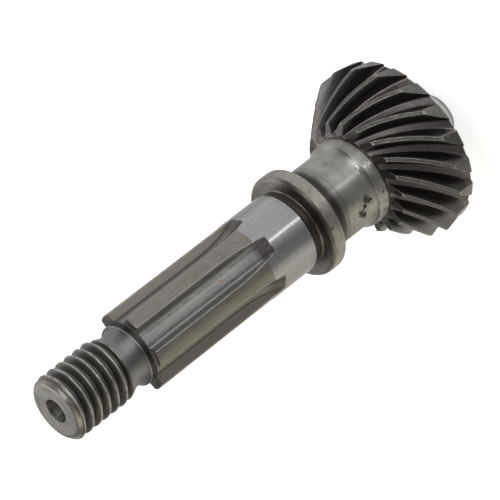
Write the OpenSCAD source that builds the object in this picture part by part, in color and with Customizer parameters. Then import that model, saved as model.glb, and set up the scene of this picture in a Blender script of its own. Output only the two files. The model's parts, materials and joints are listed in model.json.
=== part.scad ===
// Pinion shaft: a one-piece output shaft with a spiral bevel pinion cut on it.
// From the foot up: bearing stub, bevel pinion, waisted hub, shoulder collar,
// ground bearing journal, six-tooth straight spline, relief neck and a
// left-hand M8 x 1.25 thread with a centre-drilled end.
// Millimetres. The shaft axis is Z and the stub's end face stands on z = 0.

/* [Stub] */
// diameter of the bearing seat behind the pinion
stub_d = 6; // [5:0.1:8]
// length from the pinion's back to the foot
stub_len = 6.1; // [4:0.1:12]
// radial size of the lead chamfer at the foot
stub_lead = 0.33; // [0.1:0.01:0.6]
// diameter of the shoulder that the inner bearing ring meets
boss_d = 9; // [8.4:0.1:11]
// height of that shoulder
boss_h = 0.5; // [0.3:0.1:1]

/* [Pinion] */
// number of teeth
teeth = 19; // [15:1:23]
// largest diameter, at the crown
gear_d = 22.2; // [20.5:0.1:23.5]
// diameter at the back edge of the heel band
heel_d = 21.4; // [20.9:0.1:22]
// length from the toe face to the back
gear_len = 8.1; // [7.4:0.1:8.6]
// height of the cone apex above the back
apex_h = 17.5; // [17:0.1:18.4]
// half angle of the cone over the tooth tips
face_angle = 36.7; // [36:0.1:37.6]
// half angle of the pitch cone
pitch_angle = 33; // [32.4:0.1:33.6]
// half angle of the cone under the tooth roots
root_angle = 30.6; // [30.4:0.1:31.2]
// spiral angle at the middle of the face
spiral_angle = 32; // [20:1:38]
// radius of the face-mill cutter that sweeps the tooth trace
cutter_r = 24; // [20:1:40]
// transverse pressure angle of the flanks
pressure_angle = 17.5; // [15:0.5:20]
// share of the pitch that the tooth fills on the pitch cone, times two
tooth_fill = 0.92; // [0.8:0.01:1]
// lean of the toe face from a plane square to the axis
toe_lean = 8.6; // [0:0.1:15]
// turn of the tooth pattern about the axis
gear_phase = 12.7; // [0:0.1:24]

/* [Hub and collar] */
// diameter of the hub's waist
hub_d = 9.9; // [9:0.1:10.4]
// length from the collar to the toe face
hub_len = 8.35; // [7:0.05:12]
// diameter of the rim where the hub meets the toe face
rim_d = 10.9; // [10.6:0.1:11]
// straight length of that rim
rim_len = 1.65; // [0.8:0.05:2.5]
// radius of the cove between waist and rim
rim_cove = 1.7; // [0.8:0.1:2.2]
// diameter of the shoulder collar
collar_d = 13; // [12:0.1:15]
// thickness of the collar
collar_t = 2.1; // [1.4:0.1:3]
// rounding of the collar's rim
collar_round = 0.45; // [0.1:0.05:0.6]
// cove between the collar's back and the hub
collar_cove = 0.6; // [0.2:0.1:1]

/* [Journal] */
// diameter of the ground bearing seat
journal_d = 10; // [9.9:0.05:12]
// length from the spline to the collar
journal_len = 7.75; // [6:0.05:12]
// length of the lead taper that guides the bearing on to the seat
journal_lead = 0.55; // [0.3:0.05:1.5]
// width of the grinding relief beside the collar
relief_w = 1.3; // [0.6:0.1:1.8]
// depth of that relief
relief_depth = 0.25; // [0.1:0.05:0.4]
// fillet between the relief and the collar's face
relief_round = 0.2; // [0.05:0.05:0.3]

/* [Spline] */
// number of spline teeth
spline_teeth = 6; // [4:1:8]
// diameter over the spline teeth
spline_d = 9.84; // [9.2:0.02:9.88]
// diameter at the bottom of the grooves
spline_root_d = 7.82; // [7.2:0.02:8.4]
// width of a spline tooth
spline_tooth_w = 1.8; // [1.4:0.05:2.2]
// length from the neck to the journal
spline_len = 17.55; // [12:0.05:30]
// chamfer on the leading end of the teeth
spline_lead = 0.3; // [0.1:0.05:0.6]
// radius of the disc cutter that leaves the run-out
runout_r = 18; // [12:1:24]
// how far the run-out reaches into the journal
runout_over = 1.3; // [0.5:0.1:2]

/* [Thread end] */
// diameter over the thread crests
thread_d = 7.85; // [7.4:0.05:7.95]
// length of the threaded end with its run-out cone
thread_len = 9.1; // [6:0.1:16]
// radial size of the lead chamfer
thread_lead = 0.5; // [0.2:0.05:0.8]
// length of the cone down to the neck
thread_cone = 1.5; // [0.8:0.1:2]
// diameter of the relief neck
neck_d = 6.5; // [6.1:0.1:6.9]
// length of the neck
neck_len = 2.15; // [1.5:0.05:4]
// cove at the foot of the neck
neck_cove = 0.4; // [0.1:0.1:0.5]
// mouth diameter of the centre drilling
centre_d = 3; // [2:0.1:3.6]
// diameter of its pilot
centre_pilot_d = 1.4; // [0.8:0.1:1.6]
// depth of the pilot from the end face
centre_depth = 2.9; // [2.4:0.1:4]
// angle of the drill point at the pilot's bottom
centre_point = 118; // [90:1:140]

/* [Hidden] */
$fn = 96;
eps = 0.01;

// stations along the axis, from the foot up
z_back = stub_len;
z_toe = z_back + gear_len;
z_collar = z_toe + hub_len;
z_journal = z_collar + collar_t;
z_spline = z_journal + journal_len;
z_neck = z_spline + spline_len;
z_thread = z_neck + neck_len;
z_end = z_thread + thread_len;
z_apex = z_back + apex_h;

// the hub's rim and the height of the cove above it
toe_r = rim_d / 2;
rim_step = min(rim_cove, max(0, (rim_d - hub_d) / 2));
rim_rise = sqrt(pow(rim_cove, 2) - pow(rim_cove - rim_step, 2));
z_waist = z_toe + rim_len + rim_rise;

// the pinion's turned blank
toe_slope = tan(toe_lean);
face_slope = tan(face_angle);
tip_r = (z_apex - z_toe - toe_r * toe_slope) * face_slope / (1 - toe_slope * face_slope);
z_tip = z_toe - (tip_r - toe_r) * toe_slope;
z_crown = z_apex - gear_d / 2 / face_slope;

// the pinion's tooth slots, measured as cone distance from the apex
slot_sections = 9;
slot_near = (z_apex - z_toe) * 0.98 / cos(root_angle - 2);
slot_far = apex_h / cos(face_angle + 2.5) + 0.2;
cone_mean = apex_h * 0.74 / cos(pitch_angle);
virtual_teeth = teeth / cos(pitch_angle);
virtual_r = tan(pitch_angle);
base_r = virtual_r * cos(pressure_angle);
root_round = 1.3;
flank_steps = 4;
round_steps = 3;

// distance from the cone apex to the cutter's centre, on the developed cone
cutter_off = sqrt(pow(cone_mean, 2) + pow(cutter_r, 2)
    - 2 * cone_mean * cutter_r * sin(spiral_angle));

// involute function of an angle, in degrees
function inv(a) = tan(a) * 180 / PI - a;

// polar angle of the cutter's arc at cone distance c
function arc_polar(c) = acos((pow(c, 2) + pow(cutter_off, 2) - pow(cutter_r, 2)) / (2 * c * cutter_off));

// turn of the tooth trace at cone distance c, zero at the middle of the face
function trace(c) = (arc_polar(c) - arc_polar(cone_mean)) / sin(pitch_angle);

// pressure angle of the involute on the cone with half angle a
function flank_angle(a) =
    acos(min(1, base_r / (virtual_r + (a - pitch_angle) * PI / 180)));

// half of the tooth's angular thickness on the cone with half angle a
function tooth_half(a) =
    (90 / virtual_teeth * tooth_fill + inv(pressure_angle) - inv(flank_angle(a))) / cos(pitch_angle);

// half of the slot's angular width on that cone
function slot_half(a) = 180 / teeth - max(tooth_half(a), 0.2);

// one side of the slot's section from the root up: cone angle and half width
function slot_side() = concat(
    [for (i = [0 : round_steps])
        let (t = 90 * i / round_steps)
        [root_angle + root_round * (1 - cos(t)),
         slot_half(root_angle) - 1.7 * root_round * (1 - sin(t))]],
    [for (i = [1 : flank_steps])
        let (a = root_angle + root_round
            + (face_angle + 2 - root_angle - root_round) * i / flank_steps)
        [a, slot_half(a)]]);

// a point of the slot in space, with the cone apex at the origin
function slot_point(c, a, w) =
    let (turn = trace(c) + w)
    [c * sin(a) * cos(turn), c * sin(a) * sin(turn), -c * cos(a)];

// the spline's grooves
groove_side = spline_tooth_w / 2;
groove_top = journal_d / 2 + 1;
runout_centre = spline_root_d / 2 + runout_r;
runout_rise = journal_d / 2 - spline_root_d / 2;
runout_len = sqrt(pow(runout_r, 2) - pow(runout_r - runout_rise, 2));
z_runout = z_spline - runout_over + runout_len;

// square corner of side r, less a quarter disc: a cove or a rounding in section
module corner(r) {
    difference() {
        translate([-eps, -eps]) square(r + eps);
        translate([r, r]) circle(r);
    }
}

// half section of the turned shaft, without the pinion's blank
module shaft_section() {
    journal_r = journal_d / 2;
    relief_r = journal_r - relief_depth;
    difference() {
        union() {
            polygon([
                [0, 0],
                [stub_d / 2 - stub_lead, 0],
                [stub_d / 2, stub_lead * 1.8],
                [stub_d / 2, z_back - boss_h],
                [boss_d / 2, z_back - boss_h],
                [boss_d / 2, z_back + eps],
                [toe_r, z_back + eps],
                [toe_r, z_waist],
                [hub_d / 2, z_waist],
                [hub_d / 2, z_collar],
                [collar_d / 2, z_collar],
                [collar_d / 2, z_journal],
                [relief_r, z_journal],
                [relief_r, z_journal + relief_w - relief_depth],
                [journal_r, z_journal + relief_w],
                [journal_r, z_spline - journal_lead],
                [spline_d / 2, z_spline],
                [spline_d / 2, z_neck - spline_lead],
                [spline_d / 2 - spline_lead, z_neck],
                [neck_d / 2, z_neck],
                [neck_d / 2, z_thread],
                [thread_d / 2, z_thread + thread_cone],
                [thread_d / 2, z_end - thread_lead],
                [thread_d / 2 - thread_lead, z_end],
                [0, z_end]]);
            translate([neck_d / 2, z_neck]) corner(neck_cove);
            translate([hub_d / 2, z_collar]) mirror([0, 1]) corner(collar_cove);
            translate([relief_r, z_journal]) corner(relief_round);
        }
        translate([hub_d / 2 + rim_cove, z_waist]) circle(rim_cove);
        translate([collar_d / 2, z_collar]) mirror([1, 0]) corner(collar_round);
        translate([collar_d / 2, z_journal]) rotate(180) corner(collar_round);
    }
}

// centre drilling in the threaded end: a 60 degree countersink over a pilot
module centre_drilling() {
    slope = tan(30);
    sink = (centre_d - centre_pilot_d) / 2 / slope;
    point = centre_pilot_d / 2 / tan(centre_point / 2);
    translate([0, 0, z_end - sink])
        cylinder(d1 = centre_pilot_d, d2 = centre_d + 2 * eps * slope, h = sink + eps);
    translate([0, 0, z_end - centre_depth]) cylinder(d = centre_pilot_d, h = centre_depth);
    translate([0, 0, z_end - centre_depth - point]) cylinder(d1 = 0, d2 = centre_pilot_d, h = point);
}

// section of one spline groove between two tooth flanks, centred on +X
module groove_section() {
    half = 180 / spline_teeth;
    reach = groove_top / cos(half);
    start = groove_side / sin(half);
    difference() {
        polygon([
            [start, 0],
            [start + reach * cos(half), -reach * sin(half)],
            [start + reach * cos(half), reach * sin(half)]]);
        circle(d = spline_root_d);
    }
}

// one spline groove: straight from the neck, then out along the disc cutter
module spline_groove() {
    translate([0, 0, z_runout]) linear_extrude(z_neck + 1 - z_runout) groove_section();
    translate([runout_centre, 0, z_runout]) rotate([90, 0, 0]) rotate_extrude()
        translate([runout_centre, 0]) mirror([1, 0]) groove_section();
}

// turned blank of the pinion
module gear_section() {
    polygon([
        [0, z_back],
        [heel_d / 2, z_back],
        [gear_d / 2, z_crown],
        [tip_r, z_tip],
        [toe_r, z_toe],
        [0, z_toe]]);
}

// one tooth slot, lofted along the spiral trace
module tooth_slot() {
    side = slot_side();
    count = len(side);
    ring = 2 * count;
    points = [for (i = [0 : slot_sections - 1])
        let (c = slot_near + (slot_far - slot_near) * i / (slot_sections - 1))
        for (k = [0 : ring - 1])
            k < count
                ? slot_point(c, side[count - 1 - k][0], -side[count - 1 - k][1])
                : slot_point(c, side[k - count][0], side[k - count][1])];
    walls = [for (i = [0 : slot_sections - 2])
        for (k = [0 : ring - 1])
            let (a = i * ring + k, b = i * ring + (k + 1) % ring)
            for (face = [[a, a + ring, b], [b, a + ring, b + ring]]) face];
    last = (slot_sections - 1) * ring;
    near_cap = [for (k = [0 : count - 2])
        for (face = [[k, k + 1, ring - 1 - k], [k + 1, ring - 2 - k, ring - 1 - k]])
            if (face[0] != face[1]) face];
    far_cap = [for (face = near_cap) [face[0] + last, face[2] + last, face[1] + last]];
    polyhedron(points, concat(walls, near_cap, far_cap));
}

// the bevel pinion with its spiral teeth
module gear() {
    difference() {
        rotate_extrude() gear_section();
        translate([0, 0, z_apex]) rotate(gear_phase)
            for (i = [0 : teeth - 1]) rotate(i * 360 / teeth) tooth_slot();
    }
}

// the whole shaft, one solid
module pinion_shaft() {
    color([0.47, 0.46, 0.44]) difference() {
        union() {
            rotate_extrude() shaft_section();
            gear();
        }
        for (i = [0 : spline_teeth - 1]) rotate((i + 0.5) * 360 / spline_teeth) spline_groove();
        centre_drilling();
    }
}

pinion_shaft();
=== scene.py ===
import json
import math

import bpy
import numpy as np
from bpy.props import FloatProperty, FloatVectorProperty, IntProperty, PointerProperty
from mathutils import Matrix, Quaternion, Vector


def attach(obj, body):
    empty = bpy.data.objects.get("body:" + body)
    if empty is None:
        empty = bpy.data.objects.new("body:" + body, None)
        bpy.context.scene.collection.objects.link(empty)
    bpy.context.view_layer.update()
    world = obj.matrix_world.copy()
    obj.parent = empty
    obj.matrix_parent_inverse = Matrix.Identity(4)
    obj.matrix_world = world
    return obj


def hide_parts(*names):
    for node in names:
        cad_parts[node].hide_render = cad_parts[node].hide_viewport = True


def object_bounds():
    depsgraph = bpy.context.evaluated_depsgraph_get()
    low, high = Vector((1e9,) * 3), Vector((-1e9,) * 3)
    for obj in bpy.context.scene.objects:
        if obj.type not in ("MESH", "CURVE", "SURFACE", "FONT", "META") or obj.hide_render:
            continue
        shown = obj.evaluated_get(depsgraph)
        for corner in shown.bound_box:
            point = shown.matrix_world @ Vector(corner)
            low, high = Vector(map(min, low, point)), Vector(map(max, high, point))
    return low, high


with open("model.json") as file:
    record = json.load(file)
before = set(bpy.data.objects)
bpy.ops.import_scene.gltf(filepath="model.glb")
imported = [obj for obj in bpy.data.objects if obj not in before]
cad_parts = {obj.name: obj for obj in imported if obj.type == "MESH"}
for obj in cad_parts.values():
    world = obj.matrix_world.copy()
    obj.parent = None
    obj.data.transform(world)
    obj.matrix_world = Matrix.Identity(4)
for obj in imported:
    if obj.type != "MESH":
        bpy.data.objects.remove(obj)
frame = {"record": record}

bl_info = {
    "name": "Pinion shaft",
    "version": (1, 0, 0),
    "blender": (4, 5, 0),
    "location": "View3D > Sidebar > Pinion shaft",
    "description": "Dresses the packed pinion shaft with its teeth, thread, steel finishes and studio",
    "category": "Object",
}

MM = 0.001
NODE = "pinion_shaft"
CAD_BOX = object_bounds()
MOUNTS = {mount["name"]: mount for mount in frame["record"]["mounts"]}

# Faces of one finish share a material; the numbers are the material slots of the mesh.
GROUND, TURNED, WORN, SPLINE, GROOVE, THREAD, FLANK, LAND, END, HOLE = range(10)

# Points closer than this are one point.
WELD = 0.001 * MM
# Long straight stretches get a point this close to each end, so that their shading stays flat.
HOLD = 0.03 * MM
# Width of the strip that joins two bands with different numbers of columns.
SEAM = 0.15 * MM
# How far rubbing reaches from an edge.
RUB = 0.1 * MM
# Largest turn between two points of a fillet.
ARC_STEP = math.radians(20)
# Largest step along the thread's section.
THREAD_STEP = 0.15 * MM
# Columns of points round the turned parts and round the thread.
COLUMNS, THREAD_COLUMNS = 108, 96
# Moves whole sizes off the border between two welding cells.
CELL_SHIFT = 0.137


def length(name, description, millimetres):
    """A length with its default given in millimetres."""
    return FloatProperty(
        name=name, description=description, default=millimetres * MM, unit="LENGTH", precision=5
    )


def angle(name, description, degrees):
    """An angle with its default given in degrees."""
    return FloatProperty(
        name=name, description=description, default=math.radians(degrees), subtype="ANGLE"
    )


def colour(name, description, red, green, blue):
    """A linear colour."""
    return FloatVectorProperty(
        name=name, description=description, default=(red, green, blue), subtype="COLOR", min=0, max=1
    )


def power(name, description, watts):
    """A lamp's power in watts."""
    return FloatProperty(name=name, description=description, default=watts, unit="POWER", min=0)


class ShaftSizes(bpy.types.PropertyGroup):
    """Sizes of the turned, ground, splined and threaded parts of the shaft."""

    stub_radius: length(
        "Stub radius", "Bearing seat behind the pinion", MOUNTS["stub_seat"]["dims"]["r_mm"]
    )
    stub_length: length("Stub length", "From the end face to the pinion's back", 6.1)
    stub_lead: length("Stub lead", "Chamfer on the stub's end, across", 0.33)
    stub_fillet: length("Stub fillet", "Fillet between stub and boss", 0.12)
    boss_radius: length("Boss radius", "Low ring on the pinion's back", 4.5)
    boss_height: length("Boss height", "Height of that ring", 0.5)
    boss_fillet: length("Boss fillet", "Fillet between that ring and the back", 0.1)
    rim_radius: length("Rim radius", "Hub's end beside the teeth", 5.45)
    rim_length: length("Rim length", "Straight part of that end", 1.65)
    rim_cove: length("Rim cove", "Radius that eases the rim down to the waist", 1.7)
    hub_radius: length("Hub radius", "Waist between pinion and collar", 4.95)
    hub_length: length("Hub length", "From the teeth to the collar", 8.35)
    collar_radius: length("Collar radius", "Shoulder for the bearing", 6.5)
    collar_thickness: length("Collar thickness", "Along the shaft", 2.1)
    collar_round: length("Collar round", "Radius on the collar's edges", 0.45)
    collar_cove: length("Collar cove", "Fillet behind the collar", 0.6)
    relief_width: length("Relief width", "Grinding relief beside the collar", 1.3)
    relief_depth: length("Relief depth", "How deep that relief is", 0.25)
    relief_round: length("Relief round", "Fillet between relief and collar", 0.2)
    relief_edge: length("Relief edge", "Round on the relief's far side", 0.1)
    journal_radius: length(
        "Journal radius", "Ground bearing seat", MOUNTS["journal_seat"]["dims"]["r_mm"]
    )
    journal_length: length("Journal length", "From the collar to the spline", 7.75)
    journal_lead: length("Journal lead", "Taper from the spline up to the journal", 0.55)
    spline_teeth: IntProperty(name="Spline teeth", description="Number of spline teeth", default=6)
    spline_radius: length("Spline radius", "Over the spline teeth", 4.92)
    spline_root: length("Spline root radius", "At the floor of the grooves", 3.91)
    spline_width: length("Spline tooth width", "Across the top of one tooth", 1.8)
    spline_lean: angle("Spline lean", "How far each side of a spline tooth leans in", 8)
    spline_length: length("Spline length", "From the journal to the neck", 17.55)
    spline_lead: length("Spline lead", "Chamfer on the free ends of the teeth", 0.15)
    spline_edge: length("Spline edge", "Round along the tops of the teeth", 0.1)
    spline_fillet: length("Spline fillet", "Round along the feet of the teeth", 0.3)
    runout_radius: length("Run-out radius", "Disc cutter that ends each groove", 18.0)
    runout_over: length("Run-out overlap", "How far a groove runs into the journal", 1.3)
    neck_radius: length("Neck radius", "Turned neck before the thread", 3.25)
    neck_length: length("Neck length", "Along the shaft", 2.15)
    neck_cove: length("Neck cove", "Length of the hollow curve between neck and shoulder", 1.25)
    shoulder: length("Shoulder", "Root of the spline past the ends of its teeth", 0.75)
    shoulder_drop: length("Shoulder drop", "How far the shoulder lies below the groove floors", 0.1)
    shoulder_round: length("Shoulder round", "Radius on the shoulder's edge", 0.08)
    thread_radius: length(
        "Thread radius", "Over the thread's crests", MOUNTS["thread_end"]["dims"]["r_mm"]
    )
    thread_pitch: length("Thread pitch", "One turn of the thread", 1.25)
    thread_depth: length("Thread depth", "From crest to root", 0.767)
    thread_crest: length("Thread crest", "Radius on the crest's edges", 0.11)
    thread_hollow: length("Thread hollow", "Radius at the root's edges", 0.16)
    thread_start: length("Thread start", "Height of a crest on the +X side", 60.137)
    thread_cone: length("Thread cone", "Length of the run-up from the neck", 1.5)
    thread_turns: FloatProperty(
        name="Thread turns", description="Turns from the start to the end of the run-out", default=6.35
    )
    thread_fade: FloatProperty(
        name="Thread fade", description="Turns over which the groove runs out", default=0.3
    )
    thread_lead: length("Thread lead", "Chamfer at the end of the thread", 0.5)
    centre_radius: length("Centre radius", "Mouth of the lathe centre", 1.5)
    pilot_radius: length("Pilot radius", "Drilled hole under the centre", 0.7)
    pilot_round: length("Pilot round", "Round on that hole's edge", 0.03)
    centre_depth: length("Centre depth", "Depth of that hole", 2.9)
    edge_break: length("Edge break", "Small round on the turned edges", 0.07)


class PinionSizes(bpy.types.PropertyGroup):
    """Sizes of the spiral bevel teeth."""

    teeth: IntProperty(name="Teeth", description="Number of teeth", default=19, min=8)
    radius: length("Crown radius", "Over the crowns of the teeth", 11.1)
    heel_radius: length("Heel radius", "At the back edge of the teeth", 10.7)
    toe_height: length("Toe height", "From the back to the foot of the toe", 8.1)
    apex_height: length("Apex height", "From the back to the point of the cones", 17.5)
    face_angle: angle("Face angle", "Half angle of the cone over the teeth", 36.7)
    pitch_angle: angle("Pitch angle", "Half angle of the pitch cone", 33)
    root_angle: angle("Root angle", "Half angle of the cone under the teeth", 30.6)
    spiral_angle: angle("Spiral angle", "Lean of the teeth at mid face", 32)
    mid_face: FloatProperty(
        name="Mid face", description="Where the teeth have that lean, as a share of the cone", default=0.74
    )
    cutter_radius: length("Cutter radius", "Face mill that sweeps the teeth", 24.0)
    pressure_angle: angle("Pressure angle", "Slope of the flanks", 17.5)
    tooth_fill: FloatProperty(
        name="Tooth fill", description="Tooth width as a share of half the pitch", default=0.92
    )
    toe_lean: angle("Toe lean", "How far the toe faces lean back", 8.6)
    root_fillet: angle("Root fillet", "Rounding at the foot of the flanks", 1.3)
    edge_round: length("Edge round", "Round on the edges of the teeth", 0.09)
    toe_swell: angle("Toe swell", "How much wider each side of a tooth's top is at the toe", 0.9)
    phase: angle("Phase", "Turn of the first tooth space", 12.7)


class SteelTones(bpy.types.PropertyGroup):
    """Colours of the steel's finishes."""

    ground: colour("Ground", "Ground journal", 0.285, 0.286, 0.295)
    # Painted light: a lighter tone for the stub, which stands in the shade of the teeth.
    stub: colour("Stub", "Ground stub behind the pinion", 0.5, 0.5, 0.51)
    ground_shade: colour("Ground shade", "Duller streaks on the ground seats", 0.225, 0.225, 0.224)
    turned: colour("Turned", "Hub and neck", 0.322, 0.314, 0.296)
    turned_shade: colour("Turned shade", "Duller tool lines and stained steel", 0.14, 0.134, 0.124)
    worn: colour("Worn", "Sandy collar and end bevel", 0.25, 0.238, 0.216)
    worn_shade: colour("Worn shade", "Dark grain on the collar", 0.135, 0.124, 0.106)
    # Painted shade: this dark brown on the collar's face stands in for a dark reflection.
    collar_face_shade: colour("Collar face", "Brown film on the collar's front face", 0.065, 0.054, 0.047)
    spline: colour("Spline", "Brown-grey crests of the spline", 0.19, 0.183, 0.166)
    spline_shade: colour("Spline shade", "Brown tarnish on the crests", 0.112, 0.1, 0.083)
    neck: colour("Neck", "Blue-grey neck before the thread", 0.19, 0.191, 0.195)
    groove: colour("Groove", "Milled steel in the spline grooves", 0.225, 0.222, 0.214)
    groove_shade: colour("Groove shade", "Dull streaks in the grooves", 0.17, 0.168, 0.166)
    runout: colour("Run-out", "Dark rough patches where the grooves end", 0.09, 0.078, 0.08)
    thread: colour("Thread", "Rolled crests", 0.315, 0.307, 0.292)
    thread_shade: colour("Thread shade", "Dark film in the thread", 0.095, 0.091, 0.088)
    flank: colour("Tooth flank", "Dark heat-treated flanks", 0.08, 0.076, 0.075)
    root: colour("Tooth root", "Brown film along the tooth roots", 0.15, 0.127, 0.122)
    land: colour("Tooth land", "Grey tops and ends of the teeth", 0.11, 0.105, 0.097)
    land_shade: colour("Tooth land shade", "Darker grain on the tooth tops", 0.055, 0.052, 0.05)
    end: colour("End face", "Pale turned end", 0.295, 0.284, 0.255)
    end_shade: colour("End face shade", "Duller rings on the end", 0.2, 0.19, 0.17)
    # Painted shade: the dark tone inside the drilled centre.
    hole: colour("Centre hole", "Dark dry inside of the drilled centre", 0.055, 0.052, 0.049)
    # Also the colour of the painted glints and highlight lines on the rim, collar and neck shoulder.
    bright: colour("Bright edge", "Rubbed edges", 0.36, 0.352, 0.338)
    rust: colour("Rust", "Small rust spots", 0.20, 0.115, 0.06)
    # Real pits and stains, and also painted shade in corners, creases and the relief.
    stain_and_shade: colour("Stain", "Dark pits and grime", 0.03, 0.026, 0.024)


class StudioSettings(bpy.types.PropertyGroup):
    """Camera, floor and lamps."""

    azimuth: angle("View azimuth", "Where the camera stands, from the front", -1.0)
    elevation: angle("View elevation", "How far the camera looks down", 29.59)
    roll: angle("View roll", "Turn of the picture about the view", -127.83)
    aim_height: length("Aim height", "Height of the point in the picture's middle", 30.62)
    aim_side: length("Aim side", "That point's distance to the right of the axis", 0.885)
    distance: length("View distance", "From that point to the camera", 331.68)
    lens: FloatProperty(
        name="Lens", description="Focal length on a 36 mm film", default=216.3, subtype="DISTANCE_CAMERA"
    )
    paper: colour("Paper", "White floor", 0.80, 0.80, 0.80)
    glow: FloatProperty(
        name="Paper glow", description="Light that the paper adds in picture and reflections", default=0.72
    )
    sky: FloatProperty(name="Sky", description="Strength of the plain light all round", default=0.55)
    ceiling: FloatProperty(name="Ceiling", description="How light the room is overhead", default=0.18)
    key_power: power("Key lamp", "Soft lamp above the camera", 1.5)
    fill_power: power("Fill lamp", "Soft lamp from the right of the standing shaft", 0.4)
    back_power: power("Back lamp", "Soft lamp behind the shaft", 0.5)
    cards: FloatProperty(
        name="Toned cards", description="Strength of the floor cards that only the steel sees", default=1.5
    )
    streak: FloatProperty(
        name="Streak card", description="Strength of the card that draws a bright streak", default=6.0
    )
    side_power: power("Side lamp", "Warm lamp from the left of the standing shaft", 0.7)
    warm_power: power("Warm lamp", "Low warm lamp on the same side", 0.12)
    side_tint: colour("Side lamp tint", "Colour of these two lamps", 1.0, 0.94, 0.78)
    card_tint: colour("Card tint", "Colour of the floor card on that side", 1.0, 0.97, 0.86)


def rounded(corners):
    """The line through (across, along, fillet) corners, with each fillet drawn as an arc."""
    points = [np.array(corner[:2]) for corner in corners]
    line = [points[0]]
    for before, at, after, corner in zip(points, points[1:], points[2:], corners[1:]):
        into, out = before - at, after - at
        space = 0.49 * min(np.linalg.norm(into), np.linalg.norm(out))
        into, out = into / np.linalg.norm(into), out / np.linalg.norm(out)
        turn = math.pi - math.acos(np.clip(into @ out, -1, 1))
        reach = min(corner[2] * math.tan(turn / 2), space)
        if reach < WELD:
            line.append(at)
            continue
        middle = into + out
        centre = at + middle / np.linalg.norm(middle) * reach / math.sin(turn / 2)
        start, end = at + into * reach - centre, at + out * reach - centre
        for part in np.linspace(0, turn, max(2, math.ceil(turn / ARC_STEP)) + 1):
            line.append(centre + (start * math.sin(turn - part) + end * math.sin(part)) / math.sin(turn))
    line.append(points[-1])
    return held(line)


def held(line):
    """The line with an extra point near both ends of every long stretch."""
    kept = [line[0]]
    for start, end in zip(line, line[1:]):
        run = np.linalg.norm(end - start)
        if run > 4 * HOLD:
            step = (end - start) / run * HOLD
            kept += [start + step, end - step]
        kept.append(end)
    return np.array(kept)


def soften(before, corner, after, reach):
    """A short curve in place of each corner; the three arrays hold one corner to a row."""
    def leg(other):
        run = other - corner
        size = np.maximum(np.linalg.norm(run, axis=-1, keepdims=True), 1e-12)
        return corner + run * np.minimum(reach / size, 0.45)

    start, end = leg(before), leg(after)
    part = np.linspace(0, 1, 5).reshape((-1,) + (1,) * corner.ndim)
    return (1 - part) ** 2 * start + 2 * part * (1 - part) * corner + part**2 * end


def between(start, end, parts):
    """Points at the given parts of the way from start to end."""
    parts = np.reshape(parts, (-1,) + (1,) * start.ndim)
    return start + (end - start) * parts


def revolve(profile, columns):
    """Rings of points round the shaft from (radius, height) pairs."""
    turn = np.linspace(0, 2 * math.pi, columns, endpoint=False)
    radius, height = np.asarray(profile).T
    return np.stack(
        [np.outer(radius, np.cos(turn)), np.outer(radius, np.sin(turn)), np.outer(height, turn * 0 + 1)], -1
    )


class Skin:
    """Bands of points round the shaft that are welded into one closed mesh."""

    def __init__(self):
        self.points, self.wear, self.faces, self.finish = [], [], [], []
        self.count = 0

    def store(self, points, wear):
        """Keeps points and says where they start."""
        first = self.count
        self.points.append(points.reshape(-1, 3))
        self.wear.append(np.broadcast_to(wear, points.shape[:-1]).reshape(-1))
        self.count += len(self.points[-1])
        return first

    def band(self, grid, finish, wear=0.0, closed=True):
        """A band whose rows follow the shaft upwards and whose columns go round it."""
        rows, columns = grid.shape[:2]
        index = self.store(grid, wear) + np.arange(rows * columns).reshape(rows, columns)
        if closed:
            index = np.hstack([index, index[:, :1]])
        quads = np.stack([index[:-1, :-1], index[:-1, 1:], index[1:, 1:], index[1:, :-1]], -1)
        self.faces.append(quads.reshape(-1, 4))
        self.finish.append(np.broadcast_to(finish, quads.shape[:2]).reshape(-1))

    def strip(self, lower, upper, finish):
        """Triangles between two rings that have different numbers of points."""
        rings = []
        for ring in (lower, upper):
            turn = np.arctan2(ring[:, 1], ring[:, 0]) % (2 * math.pi)
            order = np.argsort(turn, kind="stable")
            index = self.store(ring[order], 0.0) + np.arange(len(ring) + 1)
            index[-1] = index[0]
            rings.append((index, np.append(turn[order], turn[order][0] + 2 * math.pi)))
        (low, low_turn), (up, up_turn) = rings
        faces, i, j = [], 0, 0
        while i < len(lower) or j < len(upper):
            if j == len(upper) or (i < len(lower) and low_turn[i + 1] <= up_turn[j + 1]):
                faces.append((low[i], low[i + 1], up[j], up[j]))
                i += 1
            else:
                faces.append((low[i], up[j + 1], up[j], up[j]))
                j += 1
        self.faces.append(np.array(faces))
        self.finish.append(np.full(len(faces), finish))

    def mesh(self, name):
        """The welded mesh, with a wear value at each point, which also marks painted highlights and painted
        shade, and a finish on each face.
        """
        points, wear = np.concatenate(self.points), np.concatenate(self.wear)
        keys = np.round(points / WELD + CELL_SHIFT).astype(np.int64)
        _, first, joined = np.unique(keys, axis=0, return_index=True, return_inverse=True)
        joined = joined.reshape(-1)
        most = np.full(len(first), -1.0)
        np.maximum.at(most, joined, wear)
        quads, kinds = joined[np.concatenate(self.faces)].tolist(), np.concatenate(self.finish).tolist()
        faces, finish = [], []
        for quad, kind in zip(quads, kinds):
            corners = list(dict.fromkeys(quad))
            if len(corners) > 2:
                faces.append(corners)
                finish.append(kind)
        used = np.unique(np.concatenate([np.array(face) for face in faces]))
        place = np.full(len(first), -1)
        place[used] = np.arange(len(used))
        mesh = bpy.data.meshes.new(name)
        mesh.from_pydata(points[first][used].tolist(), [], [place[face].tolist() for face in faces])
        mesh.shade_smooth()
        mesh.polygons.foreach_set("material_index", finish)
        mesh.attributes.new("wear", "FLOAT", "POINT").data.foreach_set("value", most[used])
        mesh.update()
        return mesh


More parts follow.
